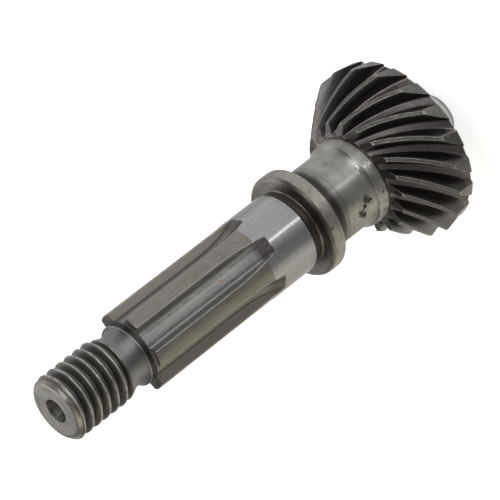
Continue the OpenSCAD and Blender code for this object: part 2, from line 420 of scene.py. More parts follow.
class Stations:
    """Heights of the shaft's sections above the stub's end face, and the sizes that they come from."""

    def __init__(self, shaft, pinion):
        self.shaft, self.pinion = shaft, pinion
        self.back = shaft.stub_length
        self.apex = self.back + pinion.apex_height
        self.toe = self.back + pinion.toe_height
        self.rim = self.toe + shaft.rim_length
        step = shaft.rim_radius - shaft.hub_radius
        self.waist = self.rim + math.sqrt(shaft.rim_cove**2 - (shaft.rim_cove - step) ** 2)
        self.collar = self.toe + shaft.hub_length
        self.journal = self.collar + shaft.collar_thickness
        self.spline = self.journal + shaft.journal_length
        self.neck = self.spline + shaft.spline_length
        self.thread = self.neck + shaft.neck_length
        self.end = CAD_BOX[1][2]
        self.cutter = shaft.spline_root + shaft.runout_radius
        run = math.sqrt(shaft.runout_radius**2 - (self.cutter - shaft.journal_radius) ** 2)
        self.runout_end = self.spline - shaft.runout_over
        self.runout = self.runout_end + run


def stub_band(skin, shaft, at):
    """Foot, bearing stub and boss; gives the ring that meets the pinion's back."""
    rim = shaft.stub_radius
    profile = rounded([
        (0.0, 0.0, 0.0),
        (rim - shaft.stub_lead, 0.0, shaft.edge_break),
        (rim, 1.8 * shaft.stub_lead, shaft.stub_lead),
        (rim, at.back - shaft.boss_height, shaft.stub_fillet),
        (shaft.boss_radius, at.back - shaft.boss_height, shaft.edge_break),
        (shaft.boss_radius, at.back, shaft.boss_fillet),
        (shaft.boss_radius + 4 * shaft.boss_fillet, at.back, 0.0),
    ])
    grid = revolve(profile, COLUMNS)
    ground = np.abs(profile[1:, 0] - rim) < WELD
    skin.band(grid, np.where(ground, GROUND, TURNED)[:, None])
    return grid[-1]


def tooth_columns(pinion):
    """One tooth space from land to land: cone angle, turn, whether land, wear and swell of each column."""
    half_pitch = math.pi / pinion.teeth
    narrowest = math.radians(0.2)
    reach = math.tan(pinion.pitch_angle)

    def involute(slope):
        return np.tan(slope) - slope

    def half_space(cone):
        base = reach * math.cos(pinion.pressure_angle)
        slope = np.arccos(np.minimum(1, base / (reach + cone - pinion.pitch_angle)))
        share = half_pitch / 2 * math.cos(pinion.pitch_angle) * pinion.tooth_fill
        half = (share + involute(pinion.pressure_angle) - involute(slope)) / math.cos(pinion.pitch_angle)
        return half_pitch - np.maximum(half, narrowest)

    wall = half_space(pinion.root_angle)
    spread = 1.7 * pinion.root_fillet
    floor = wall - spread
    quarter = np.linspace(0, math.pi / 2, 7)
    fillet = np.stack([
        floor + spread * np.sin(quarter),
        pinion.root_angle + pinion.root_fillet * (1 - np.cos(quarter)),
    ], -1)
    cone = np.linspace(pinion.root_angle + pinion.root_fillet, pinion.face_angle, 10)
    flank = np.stack([half_space(cone), cone], -1)
    land = np.array([half_pitch, pinion.face_angle])
    # Turn is scaled to lengths on the unit sphere while the land's edge is rounded.
    scale = np.array([math.sin(pinion.face_angle), 1.0])
    mid_radius = 0.75 * pinion.radius
    size = pinion.edge_round * math.sin(pinion.face_angle) / mid_radius
    edge = soften(flank[-2] * scale, flank[-1] * scale, land * scale, size) / scale
    parts = np.array([0.12, 0.4, 0.7, 1.0])
    tops = between(edge[-1], land, parts)
    root = np.array([[0.0, pinion.root_angle], [0.6 * floor, pinion.root_angle]])
    half = np.concatenate([root, fillet, flank[1:-1], edge, tops])
    wear = np.zeros(len(half))
    wear[-len(edge) - len(tops):-len(tops)] = 1.0
    top = np.zeros(len(half), bool)
    top[-len(tops) - 2:] = True
    swell = -(half[:, 1] - pinion.root_angle) / (pinion.face_angle - pinion.root_angle)
    swell[-len(tops):] = parts - 1
    mirrored = half[::-1] * np.array([-1.0, 1.0])
    whole = np.concatenate([mirrored, half[1:-1]])
    rest = (np.append(column[::-1], column[1:-1]) for column in (top, wear))
    return whole[:, 1], whole[:, 0], *rest, np.append(-swell[::-1], swell[1:-1])


def pinion_band(skin, shaft, pinion, at):
    """Spiral bevel teeth; gives the first ring on the back and the last on the toe's foot."""
    cone, turn, top, column_wear, swell = tooth_columns(pinion)
    apex, face = pinion.apex_height, pinion.face_angle

    def on_cone(distance):
        return np.stack([distance * np.sin(cone), distance * np.cos(cone)], -1)

    # Every point is a radius and a drop below the apex.
    foot = np.array([shaft.rim_radius, apex - pinion.toe_height])
    lean = math.tan(pinion.toe_lean)
    toe = on_cone((foot[1] - foot[0] * lean) / (np.cos(cone) - np.sin(cone) * lean))
    crown = pinion.radius / math.tan(face)
    slope = (pinion.heel_radius - pinion.radius) / (apex - crown)
    band = (pinion.radius - crown * slope) / (np.sin(cone) - slope * np.cos(cone))
    heel = on_cone(np.minimum(band, apex / np.cos(cone)))
    back = np.stack([np.minimum(pinion.heel_radius, apex * np.tan(cone)), np.full(len(cone), apex)], -1)
    inner = back - np.array([2 * SEAM, 0.0])
    foot = np.broadcast_to(foot, toe.shape)

    reach = pinion.edge_round
    back_edge = soften(inner, back, heel, 1.5 * reach)
    heel_edge = soften(back, heel, toe, reach)
    toe_edge = soften(heel, toe, foot, reach)
    heel_face = between(back_edge[-1], heel_edge[0], (0.06, 0.5, 0.94))
    steps = np.concatenate([[0.008], np.linspace(0.04, 0.96, 22), [0.992]])
    tooth = between(heel_edge[-1], toe_edge[0], steps)
    toe_face = between(toe_edge[-1], foot, (0.06, 0.5, 0.94, 1.0))
    parts = [inner[None], back_edge, heel_face, heel_edge, tooth, toe_edge, toe_face]
    path = np.concatenate(parts)
    counts = np.cumsum([len(part) for part in parts])
    row = np.arange(len(path))
    on_tooth = (row >= counts[2] + 2) & (row < counts[5] - 2)
    row_wear = np.zeros(len(path))
    for first, last in ((counts[0], counts[1]), (counts[2], counts[3]), (counts[4], counts[5])):
        row_wear[first:last] = 1.0

    # A face mill leaves a circular trace on the unrolled pitch cone; sweep is the turn along it.
    distance = np.hypot(path[..., 0], path[..., 1])
    cone_mean = pinion.mid_face * apex / math.cos(pinion.pitch_angle)
    cutter = pinion.cutter_radius
    offset = math.sqrt(cone_mean**2 + cutter**2 - 2 * cone_mean * cutter * math.sin(pinion.spiral_angle))

    def polar(along):
        return np.arccos((along**2 + offset**2 - cutter**2) / (2 * along * offset))

    sweep = (polar(distance) - polar(cone_mean)) / math.sin(pinion.pitch_angle)
    near, far = np.hypot(*toe.T), np.hypot(*heel.T)
    sweep += pinion.toe_swell * swell * np.clip((far - distance) / (far - near), 0, 1)
    starts = pinion.phase + np.arange(pinion.teeth) * 2 * math.pi / pinion.teeth
    spin = (starts[None, :, None] + (turn + sweep)[:, None, :]).reshape(len(path), -1)
    radius, drop = (np.tile(path[..., k], (1, pinion.teeth)) for k in range(2))
    grid = np.stack([radius * np.cos(spin), radius * np.sin(spin), at.apex - drop], -1)

    lands = np.tile(top & np.roll(top, -1), pinion.teeth)
    tooth_rows = (on_tooth[:-1] & on_tooth[1:])[:, None]
    toe_rows = (row[1:] >= counts[5])[:, None]
    finish = np.where((tooth_rows & ~lands) | toe_rows, FLANK, LAND)
    wear = np.maximum(row_wear[:, None] * 0.8, np.tile(column_wear, pinion.teeth) * on_tooth[:, None])
    skin.band(grid, finish, wear)
    return grid[0], grid[-1]


def hub_band(skin, shaft, at):
    """Rim, hub, collar, relief and journal up to the spline's run-out."""
    hub, rim, collar = shaft.hub_radius, shaft.rim_radius, shaft.collar_radius
    centre = hub + shaft.rim_cove
    widest = math.acos((centre - rim) / shaft.rim_cove)
    cove = [
        (centre - shaft.rim_cove * math.cos(part), at.waist - shaft.rim_cove * math.sin(part), 0.0)
        for part in np.linspace(widest, 0, 9)
    ]
    cove[0] = (rim, at.rim, shaft.edge_break)
    relief = shaft.journal_radius - shaft.relief_depth
    profile = rounded([
        (rim, at.toe + SEAM, 0.0),
        *cove,
        (hub, at.collar, shaft.collar_cove),
        (collar, at.collar, shaft.collar_round),
        (collar, at.journal, shaft.collar_round),
        (relief, at.journal, shaft.relief_round),
        (relief, at.journal + shaft.relief_width - shaft.relief_depth, shaft.relief_edge),
        (shaft.journal_radius, at.journal + shaft.relief_width, shaft.relief_edge),
        (shaft.journal_radius, at.runout_end - 2 * SEAM, 0.0),
    ])
    grid = revolve(profile, COLUMNS)
    radius, height = profile.T
    worn = np.where(height[1:] > at.collar + WELD, WORN, TURNED)
    finish = np.where(height[1:] > at.journal + shaft.relief_width, GROUND, worn)
    # Wear on the collar's rounded edges and on the rim's corner paints highlight lines there.
    edge = (radius > collar - 0.8 * shaft.collar_round) & (radius < collar - 0.04 * shaft.collar_round)
    near = 0.6 * RUB
    corner = (np.abs(height - at.rim) < near) & (radius > rim - near)
    skin.band(grid, finish[:, None], np.where(edge, 0.4, np.where(corner, 1.0, 0.0))[:, None])
    return grid[0], grid[-1]


def groove_half(shaft, at, rise, outer):
    """Half a spline groove, from its middle to the middle of the next tooth, where the cutter has risen."""
    half = math.pi / shaft.spline_teeth
    root = shaft.spline_root

    def lifted(points):
        across = np.maximum((at.cutter - points[..., 0]) ** 2 - rise**2, 0)
        return np.stack([at.cutter - np.sqrt(across), points[..., 1]], -1)

    def wall(radius):
        wide = shaft.spline_width / 2 + (shaft.spline_radius - radius) * math.tan(shaft.spline_lean)
        along = np.sqrt(radius**2 - wide**2)
        return np.array([
            along * math.cos(half) + wide * math.sin(half), along * math.sin(half) - wide * math.cos(half)
        ])

    # Halving finds the radius whose lifted wall point lies on the outside.
    low, high = root, outer
    for _ in range(40):
        middle = (low + high) / 2
        inside = np.linalg.norm(lifted(wall(middle))) < outer
        low, high = (middle, high) if inside else (low, middle)
    corner, mouth = lifted(wall(root)), lifted(wall(low))
    mouth_turn = math.atan2(mouth[1], mouth[0])
    spread = math.atan2(wall(root)[1], wall(root)[0])
    floor_turn = spread * np.linspace(0, 0.62, 7)
    floor = lifted(root * np.stack([np.cos(floor_turn), np.sin(floor_turn)], -1))
    crest_turn = mouth_turn + (half - mouth_turn) * np.array([0.06, 0.12, 0.35, 0.65, 0.88, 1.0])
    crest = outer * np.stack([np.cos(crest_turn), np.sin(crest_turn)], -1)
    foot = soften(floor[-1], corner, mouth, shaft.spline_fillet)
    edge = soften(corner, mouth, crest[1], shaft.spline_edge)
    side = between(foot[-1], edge[0], (0.08, 0.35, 0.65, 0.92))
    line = np.concatenate([floor, foot, side, edge, crest[1:]])
    radius = np.linalg.norm(line, axis=1, keepdims=True)
    wear = np.zeros(len(line))
    wear[-len(crest) + 1 - len(edge):-len(crest) + 1] = 1.0
    # Below zero is painted shade, beside the foot of the tooth.
    wear[len(floor) - 2:len(floor) + 1] = -0.4, -1.0, -0.4
    return line * np.minimum(1, outer / radius), wear * (low > root + WELD)


def spline_band(skin, shaft, at):
    """Straight-sided spline with its run-outs; gives its first and last rings."""
    chamfer = at.neck - shaft.spline_lead
    # Rings lie closer together where the cutter leaves the steel.
    steps = np.array([0, 0.03, 0.08, 0.15, 0.25, 0.4, 0.6, 0.85, 1.2, 1.6, 2.1, 2.7, 3.4, 4.2, 5.2]) * MM
    heights = np.unique(np.concatenate([
        at.runout_end + steps,
        [at.runout_end - SEAM, at.spline - shaft.journal_lead, at.spline, at.runout],
        [at.spline - shaft.journal_lead - HOLD, at.spline + HOLD, at.runout + 2 * HOLD],
        [chamfer - HOLD, chamfer, at.neck - HOLD, at.neck],
    ]))
    crest = shaft.spline_radius
    outer = np.interp(
        heights,
        [at.spline - shaft.journal_lead, at.spline, chamfer, at.neck],
        [shaft.journal_radius, crest, crest, crest - shaft.spline_lead],
    )
    step = 2 * math.pi / shaft.spline_teeth
    middles = step * (np.arange(shaft.spline_teeth) + 0.5)
    rings, wears, crests = [], [], []
    for height, limit in zip(heights, outer):
        half, wear = groove_half(shaft, at, max(at.runout - height, 0.0), limit)
        whole = np.concatenate([half[::-1] * np.array([1.0, -1.0]), half[1:-1]])
        turn = np.arctan2(whole[:, 1], whole[:, 0])
        radius = np.linalg.norm(whole, axis=1)
        spin = (middles[:, None] + turn).reshape(-1)
        radius = np.tile(radius, shaft.spline_teeth)
        rings.append(np.stack([radius * np.cos(spin), radius * np.sin(spin), radius * 0 + height], -1))
        wears.append(np.tile(np.append(wear[::-1], wear[1:-1]), shaft.spline_teeth))
        crests.append(radius > limit - WELD)
    grid, crest = np.array(rings), np.array(crests)
    whole = crest & np.roll(crest, -1, axis=1)
    top = whole[:-1] & whole[1:]
    seat = (heights[1:] <= at.spline)[:, None]
    skin.band(grid, np.where(top, np.where(seat, GROUND, SPLINE), GROOVE), np.array(wears))
    return grid[0], grid[-1]


def neck_band(skin, shaft, at):
    """Turned neck between spline and thread; gives its first and last rings."""
    neck, foot = shaft.neck_radius, at.neck + shaft.shoulder
    outer = shaft.spline_root - shaft.shoulder_drop
    step = outer - shaft.shoulder_round - neck
    hollow = [
        (neck + step * (1 - math.sin(sweep)), foot + shaft.neck_cove * (1 - math.cos(sweep)), 0.0)
        for sweep in np.linspace(0, math.pi / 2, 9)
    ]
    profile = rounded([
        (outer, at.neck, 0.0),
        (outer, foot - 2.5 * shaft.shoulder_round, 0.0),
        (outer, foot, shaft.shoulder_round),
        *hollow,
        (neck, at.thread - SEAM, 0.0),
    ])
    radius, height = profile.T
    grid = revolve(profile, COLUMNS)
    # Wear on the shoulder's edge paints a highlight ring there.
    edge = (radius > outer - 0.7 * RUB) & (height > foot - RUB)
    skin.band(grid, TURNED, edge[:, None] * 1.0)
    return grid[0], grid[-1]


def thread_band(skin, shaft, at):
    """Left-hand thread; gives its first and last rings."""
    pitch, crest = shaft.thread_pitch, shaft.thread_radius
    root, flat = crest - shaft.thread_depth, pitch / 16
    hollow = pitch / 2 - flat - shaft.thread_depth * math.tan(math.pi / 6)
    section = rounded([
        (-pitch / 2, root, 0.0),
        (-pitch / 2 + hollow, root, shaft.thread_hollow),
        (-flat, crest, shaft.thread_crest),
        (flat, crest, shaft.thread_crest),
        (pitch / 2 - hollow, root, shaft.thread_hollow),
        (pitch / 2, root, 0.0),
    ])
    turn = np.linspace(0, 2 * math.pi, THREAD_COLUMNS + 1)
    lead = shaft.thread_start - pitch * turn / (2 * math.pi)
    turns = np.arange(-math.ceil((shaft.thread_start - at.thread) / pitch) - 1, 3)
    phases = np.concatenate([
        np.linspace(start, end, math.ceil((end - start) / THREAD_STEP), endpoint=False)
        for start, end in zip(section[:-1, 0], section[1:, 0])
    ])
    rows = (turns[:, None] * pitch + phases).reshape(-1)
    height = np.clip(rows[:, None] + lead, at.thread, at.end)
    phase = (height - lead + pitch / 2) % pitch - pitch / 2
    cut = crest - np.interp(phase, section[:, 0], section[:, 1])
    # The groove fades out over the last millimetre and, at the other end of its turns, into the run-up.
    turned = np.floor((height - lead) / pitch) - turn / (2 * math.pi)
    left = (turned + shaft.thread_turns) / shaft.thread_fade
    fade = np.clip(np.minimum((at.end - height) / MM, left), 0, 1)
    run_up = np.interp(height, [at.thread, at.thread + shaft.thread_cone], [shaft.neck_radius, crest])
    bevel = np.interp(height, [at.end - shaft.thread_lead, at.end], [crest, crest - shaft.thread_lead])
    envelope = np.minimum(run_up, bevel)
    threaded = crest - cut * fade * fade * (3 - 2 * fade)
    radius = np.minimum(envelope, threaded)
    grid = np.stack([radius * np.cos(turn), radius * np.sin(turn), height], -1)
    wear = np.clip(1 - (np.abs(phase) - flat) / RUB, 0, 1)
    # On the run-up the groove's brink is rubbed, and elsewhere the crest.
    brink = np.clip(1 - np.abs(envelope - threaded) / (1.4 * RUB), 0, 1)
    wear = np.where(height < at.thread + shaft.thread_cone, brink, wear)
    pale = height > at.end - 0.8 * shaft.thread_lead
    pale = pale[:-1, :-1] & pale[1:, :-1] & pale[:-1, 1:] & pale[1:, 1:]
    bare = (radius > envelope - WELD) & (height < at.thread + 0.8 * shaft.thread_cone)
    finish = np.where(pale, WORN, np.where(bare[:-1, :-1] & bare[1:, :-1], TURNED, THREAD))
    worn = (height > at.thread + 3 * RUB) & (height < at.end - shaft.thread_lead)
    skin.band(grid, finish, wear * worn, closed=False)
    return grid[0, :-1], grid[-1, :-1]


def end_band(skin, shaft, at):
    """End face and the centre drilled in it; gives its first ring."""
    sink = (shaft.centre_radius - shaft.pilot_radius) / math.tan(math.pi / 6)
    drill_point = math.radians(118)
    tip = shaft.pilot_radius / math.tan(drill_point / 2)
    profile = rounded([
        (shaft.thread_radius - shaft.thread_depth - SEAM, at.end, 0.0),
        (shaft.centre_radius, at.end, shaft.edge_break),
        (shaft.pilot_radius, at.end - sink, shaft.pilot_round),
        (shaft.pilot_radius, at.end - shaft.centre_depth, 0.0),
        (0.0, at.end - shaft.centre_depth - tip, 0.0),
    ])
    grid = revolve(profile, COLUMNS)
    skin.band(grid, np.where(profile[1:, 1] < at.end - 0.5 * shaft.edge_break, HOLE, END)[:, None])
    return grid[0]


class Nodes:
    """A node tree, with short ways to fill it."""

    def __init__(self, tree):
        self.tree = tree

    def plug(self, socket, value):
        """Links a socket, or sets its value; a plain colour gets its alpha."""
        if isinstance(value, bpy.types.NodeSocket):
            self.tree.links.new(value, socket)
        elif socket.type == "RGBA" and len(value) == 3:
            socket.default_value = (*value, 1.0)
        else:
            socket.default_value = value

    def add(self, kind, inputs=None, **settings):
        """A new node with its settings and inputs."""
        node = self.tree.nodes.new(kind)
        for name, value in settings.items():
            setattr(node, name, value)
        for name, value in (inputs or {}).items():
            self.plug(node.inputs[name], value)
        return node

    def maths(self, operation, first, second=0.0, clamp=False):
        """A Math node's result."""
        inputs = {0: first, 1: second}
        return self.add("ShaderNodeMath", inputs, operation=operation, use_clamp=clamp).outputs[0]

    def plus(self, first, second):
        return self.maths("ADD", first, second)

    def less(self, first, second):
        return self.maths("SUBTRACT", first, second)

    def times(self, first, second):
        return self.maths("MULTIPLY", first, second)

    def over(self, first, second):
        return self.maths("DIVIDE", first, second)

    def apart(self, first, second):
        """How far two values are from each other."""
        return self.maths("ABSOLUTE", self.less(first, second))

    def most(self, masks):
        """The strongest of several masks at each point."""
        strongest = masks[0]
        for mask in masks[1:]:
            strongest = self.maths("MAXIMUM", strongest, mask)
        return strongest

    def ramp(self, value, low, high, to_low=0.0, to_high=1.0):
        """A value spread smoothly from one range to another."""
        inputs = {"Value": value, "From Min": low, "From Max": high, "To Min": to_low, "To Max": to_high}
        return self.add("ShaderNodeMapRange", inputs, interpolation_type="SMOOTHSTEP").outputs[0]

    def mix(self, factor, first, second):
        """Two colours mixed."""
        node = self.add("ShaderNodeMix", data_type="RGBA")
        for index, value in ((0, factor), (6, first), (7, second)):
            self.plug(node.inputs[index], value)
        return node.outputs[2]

    def noise(self, vector, scale, detail, roughness):
        """A noise texture's value."""
        inputs = {"Vector": vector, "Scale": scale, "Detail": detail, "Roughness": roughness}
        return self.add("ShaderNodeTexNoise", inputs).outputs["Fac"]

    def where(self):
        """The point's place on the shaft."""
        return self.add("ShaderNodeTexCoord").outputs["Object"]

    def split(self, vector):
        """The three parts of a vector."""
        return self.add("ShaderNodeSeparateXYZ", {0: vector}).outputs

    def joined(self, *parts):
        """A vector made of its parts."""
        return self.add("ShaderNodeCombineXYZ", dict(enumerate(parts))).outputs[0]

    def vector(self, operation, output, inputs):
        """A Vector Math node's result."""
        return self.add("ShaderNodeVectorMath", inputs, operation=operation).outputs[output]

    def seen_rays(self):
        """1 for what the camera sees, also in a mirror or through glass, and 0 for the light on surfaces."""
        path = self.add("ShaderNodeLightPath").outputs
        return self.most([path[f"Is {ray} Ray"] for ray in ("Camera", "Glossy", "Transmission")])


class Effect(Nodes):
    """A shader node group that finishes share, with its sockets and the point's place on the shaft."""

    def __init__(self, name, inputs, outputs):
        super().__init__(bpy.data.node_groups.new(name, "ShaderNodeTree"))
        sockets = self.tree.interface
        for socket, default in inputs.items():
            kind = "NodeSocketFloat" if isinstance(default, float) else "NodeSocketVector"
            sockets.new_socket(socket, in_out="INPUT", socket_type=kind).default_value = default
        for socket in outputs:
            sockets.new_socket(socket, in_out="OUTPUT", socket_type="NodeSocketFloat")
        self.given = self.tree.nodes.new("NodeGroupInput").outputs
        self.out = self.tree.nodes.new("NodeGroupOutput").inputs
        self.point = self.where()

    def across(self):
        """The point's place across the shaft, its distance from the axis and its height."""
        x, y, z = self.split(self.point)
        flat = self.joined(x, y)
        return flat, self.vector("LENGTH", "Value", {0: flat}), z

    def grain(self, size, detail, roughness):
        """Noise whose patches have about the given size."""
        return self.noise(self.point, self.over(1.0, size), detail, roughness)

    def give(self, socket, value):
        self.plug(self.out[socket], value)


def make_turning_effect():
    """Fine tool lines that run round the shaft, on faces and on cylinders."""
    effect = Effect("Turning lines", {"Spacing": 0.1 * MM, "Drift": 2.0}, ["Lines", "Bands"])
    flat, radius, height = effect.across()
    around = effect.vector("NORMALIZE", "Vector", {0: flat})
    drift = effect.split(effect.vector("SCALE", "Vector", {0: around, "Scale": effect.given["Drift"]}))
    along = effect.plus(height, radius)
    for socket, widen in (("Lines", 1.0), ("Bands", 9.0)):
        step = effect.over(along, effect.times(effect.given["Spacing"], widen))
        effect.give(socket, effect.noise(effect.joined(drift[0], drift[1], step), 1.0, 3.0, 0.6))


def make_drawing_effect():
    """Streaks that run along the shaft."""
    effect = Effect("Length streaks", {"Width": 0.2 * MM, "Stretch": 14.0}, ["Streaks"])
    x, y, z = effect.split(effect.point)
    drawn = effect.joined(x, y, effect.over(z, effect.given["Stretch"]))
    effect.give("Streaks", effect.noise(drawn, effect.over(1.0, effect.given["Width"]), 3.0, 0.6))


def make_tarnish_effect():
    """Cloudy tarnish, fine grain and scattered pits."""
    effect = Effect("Tarnish", {"Cloud": 3.0 * MM, "Grain": 0.15 * MM}, ["Clouds", "Specks", "Pits"])
    cloud, grain = effect.given["Cloud"], effect.given["Grain"]
    effect.give("Clouds", effect.ramp(effect.grain(cloud, 4.0, 0.6), 0.36, 0.66))
    effect.give("Specks", effect.ramp(effect.grain(grain, 2.0, 0.5), 0.3, 0.7))
    effect.give("Pits", effect.ramp(effect.grain(effect.times(grain, 2.5), 3.0, 0.65), 0.64, 0.72))


def make_wear_effect():
    """Rubbed edges, some of them painted highlights, and painted shade along corners where the wear is below
    zero, both uneven along their length.
    """
    effect = Effect("Edge wear and shade", {"Amount": 1.0, "Patch": 0.6 * MM}, ["Rubbed", "Corner shade"])
    edge = effect.add("ShaderNodeAttribute", attribute_name="wear").outputs["Fac"]
    patches = effect.grain(effect.given["Patch"], 3.0, 0.6)
    uneven = effect.times(edge, effect.ramp(patches, 0.3, 0.6, 0.35, 1.0))
    effect.give("Rubbed", effect.maths("MULTIPLY", uneven, effect.given["Amount"], clamp=True))
    effect.give("Corner shade", effect.maths("MULTIPLY", uneven, -1.0, clamp=True))


def make_spot_effect():
    """One ragged spot at a place on the surface."""
    effect = Effect("Spot", {"Place": (0, 0, 0), "Size": 0.5 * MM}, ["Spot"])
    away = effect.vector("DISTANCE", "Value", {0: effect.point, 1: effect.given["Place"]})
    ragged = effect.times(effect.less(effect.noise(effect.point, 4.0 / MM, 4.0, 0.65), 0.5), 3.0)
    share = effect.plus(effect.over(away, effect.given["Size"]), ragged)
    effect.give("Spot", effect.ramp(share, 0.75, 0.55))


def make_ring_effect():
    """A soft ring at a height on the shaft, uneven round it."""
    effect = Effect("Ring", {"Height": 0.0, "Width": 0.5 * MM}, ["Ring"])
    uneven = effect.ramp(effect.noise(effect.point, 0.7 / MM, 3.0, 0.6), 0.3, 0.7, 0.93, 1.07)
    reach = effect.times(effect.given["Width"], uneven)
    away = effect.apart(effect.split(effect.point)[2], effect.given["Height"])
    effect.give("Ring", effect.ramp(effect.over(away, reach), 1.0, 0.5))


def make_depth_effect():
    """How far up its tooth a point is, from 0 at the root cone to 1 at the face cone."""
    effect = Effect("Tooth depth", {"Apex": 0.0, "Root": 0.5, "Face": 0.8}, ["Depth"])
    _, radius, height = effect.across()
    slope = effect.over(radius, effect.less(effect.given["Apex"], height))
    effect.give("Depth", effect.ramp(slope, effect.given["Root"], effect.given["Face"]))


class Steel(Nodes):
    """A steel material whose colour is built up in coats."""

    def __init__(self, name, tone, anisotropic=0.0, rotation=0.25):
        self.material = bpy.data.materials.new(name)
        self.material.use_nodes = True
        super().__init__(self.material.node_tree)
        self.tone = tone
        self.shader = self.tree.nodes["Principled BSDF"].inputs
        self.shader["Metallic"].default_value = 1.0
        if anisotropic:
            self.shader["Anisotropic"].default_value = anisotropic
            self.shader["Anisotropic Rotation"].default_value = rotation
            tangent = self.add("ShaderNodeTangent", direction_type="RADIAL", axis="Z").outputs[0]
            self.plug(self.shader["Tangent"], tangent)

    def effect(self, name, **inputs):
        """One use of a shared effect, with its own values."""
        return self.add("ShaderNodeGroup", inputs, node_tree=bpy.data.node_groups[name]).outputs

    def tarnish(self, cloud, grain):
        """Tarnish, from the sizes of its clouds and of its grain in millimetres."""
        return self.effect("Tarnish", Cloud=cloud * MM, Grain=grain * MM)

    def rubbed(self, amount, patch=0.6):
        """Bright rubbed edges, which on some edges are painted highlights, from their strength and the size
        of their patches in millimetres.
        """
        return self.effect("Edge wear and shade", Amount=amount, Patch=patch * MM)["Rubbed"]

    def spots(self, *marks):
        """Ragged spots, each from a radius and then a turn in degrees, a height and a size in millimetres."""
        masks = []
        for radius, degrees, height, size in marks:
            turn = math.radians(degrees)
            point = (radius * math.cos(turn), radius * math.sin(turn), height * MM)
            masks.append(self.effect("Spot", Place=point, Size=size * MM)["Spot"])
        return self.most(masks)

    def rings(self, *marks):
        """Soft rings, each from a height on the shaft and then a width in millimetres."""
        return self.most([
            self.effect("Ring", Height=height, Width=width * MM)["Ring"] for height, width in marks
        ])

    def coat(self, mask, tone, amount=1.0):
        """Lays a colour over the last one where the mask is strong."""
        factor = mask if amount == 1.0 else self.times(mask, amount)
        self.tone = self.mix(factor, self.tone, tone)

    def finish(self, roughness, *reliefs):
        """Joins colour, roughness and reliefs, each a height and its depth in millimetres, to the shader."""
        self.plug(self.shader["Base Color"], self.tone)
        self.plug(self.shader["Roughness"], roughness)
        normal = {}
        for height, depth in reliefs:
            inputs = {"Height": height, "Distance": depth * MM, "Strength": 1.0, **normal}
            normal = {"Normal": self.add("ShaderNodeBump", inputs).outputs[0]}
        self.plug(self.shader["Normal"], normal["Normal"])
        return self.material


def ground_steel(tones, at):
    """Bright ground seats with fine grinding lines and faint streaks along them, and painted light on the
    stub.
    """
    steel = Steel("ground_steel", tones.ground, 0.95)
    lines = steel.effect("Turning lines", Spacing=0.035 * MM, Drift=3.0)["Lines"]
    streaks = steel.effect("Length streaks", Width=0.3 * MM, Stretch=30.0)["Streaks"]
    clouds = steel.tarnish(2.5, 0.11)
    steel.coat(steel.ramp(streaks, 0.35, 0.7), tones.ground_shade, 0.3)
    steel.coat(clouds["Specks"], tones.turned_shade, 0.5)
    steel.coat(clouds["Pits"], tones.stain_and_shade, 0.3)
    steel.coat(steel.rubbed(0.6), tones.bright)
    # Painted light: the stub under the teeth is made lighter than the other ground seats.
    steel.coat(steel.rings((0.0, 1.6 * at.back / MM)), tones.stub, 0.8)
    roughness = steel.ramp(streaks, 0.3, 0.7, 0.22, 0.26)
    return steel.finish(roughness, (lines, 0.002), (clouds["Specks"], 0.001))


def turned_steel(tones, at):
    """Satin turned steel with tool lines, painted shade in its corners, painted highlights on the rim and the
    neck shoulder, and a few pits on the hub.
    """
    steel = Steel("turned_steel", tones.turned, 0.93)
    turning = steel.effect("Turning lines", Spacing=0.24 * MM, Drift=0.4)
    lines, clouds = turning["Lines"], steel.tarnish(2.2, 0.1)
    steel.coat(clouds["Clouds"], tones.turned_shade, 0.45)
    ends = steel.rings((at.collar - 0.8 * MM, 2.6), (at.rim - 0.9 * MM, 1.5))
    cut = steel.times(steel.ramp(lines, 0.42, 0.58), steel.ramp(ends, 0.0, 1.0, 0.08, 0.8))
    steel.coat(cut, tones.turned_shade)
    neck = steel.rings((at.thread - 0.7 * MM, 2.4))
    steel.coat(neck, tones.neck, 0.85)
    # Painted shade: dark rings in the corner behind the collar, at the rim's foot by the teeth and beside the
    # spline's end.
    painted_corner_shade = steel.rings((at.collar - 0.6 * MM, 1.5), (at.toe, 0.4), (at.neck + 0.1 * MM, 0.75))
    steel.coat(painted_corner_shade, tones.stain_and_shade, 0.85)
    # Bright rubbing along the thread's run-up; on the rim's corner and the neck shoulder's edge it is a
    # painted highlight.
    steel.coat(steel.rubbed(0.8, 1.5), tones.bright)
    hub, rim = at.shaft.hub_radius, at.shaft.rim_radius
    # Painted highlight: glints on the rim, broken up by the turning lines; the rim is also smoother there.
    painted_glint = steel.spots((rim, -87, 16.2, 1.2), (rim, -93, 15.8, 1.1))
    steel.coat(steel.times(painted_glint, steel.ramp(lines, 0.4, 0.6, 0.9, 0.1)), tones.bright)
    pits = steel.spots(
        (hub, -122.5, 17.3, 0.7), (hub, -126.0, 16.9, 0.55), (hub, -130.0, 17.7, 0.5),
        (hub, -138.0, 18.4, 0.65), (hub, -142.0, 18.0, 0.6), (hub, -135.0, 18.5, 0.45),
        (rim, -125.0, 15.0, 0.2), (rim, -137.0, 16.0, 0.18), (rim, -131.0, 15.4, 0.14),
    )
    steel.coat(pits, tones.stain_and_shade, 0.92)
    steel.coat(clouds["Pits"], tones.stain_and_shade, 0.2)
    rougher = steel.times(steel.most([pits, neck]), 0.12)
    polished = steel.times(painted_glint, steel.ramp(lines, 0.4, 0.6, -0.2, 0.0))
    banded = steel.ramp(turning["Bands"], 0.3, 0.7, 0.4, 0.5)
    roughness = steel.plus(steel.plus(banded, rougher), polished)
    return steel.finish(roughness, (lines, 0.008), (steel.less(1.0, pits), 0.02))


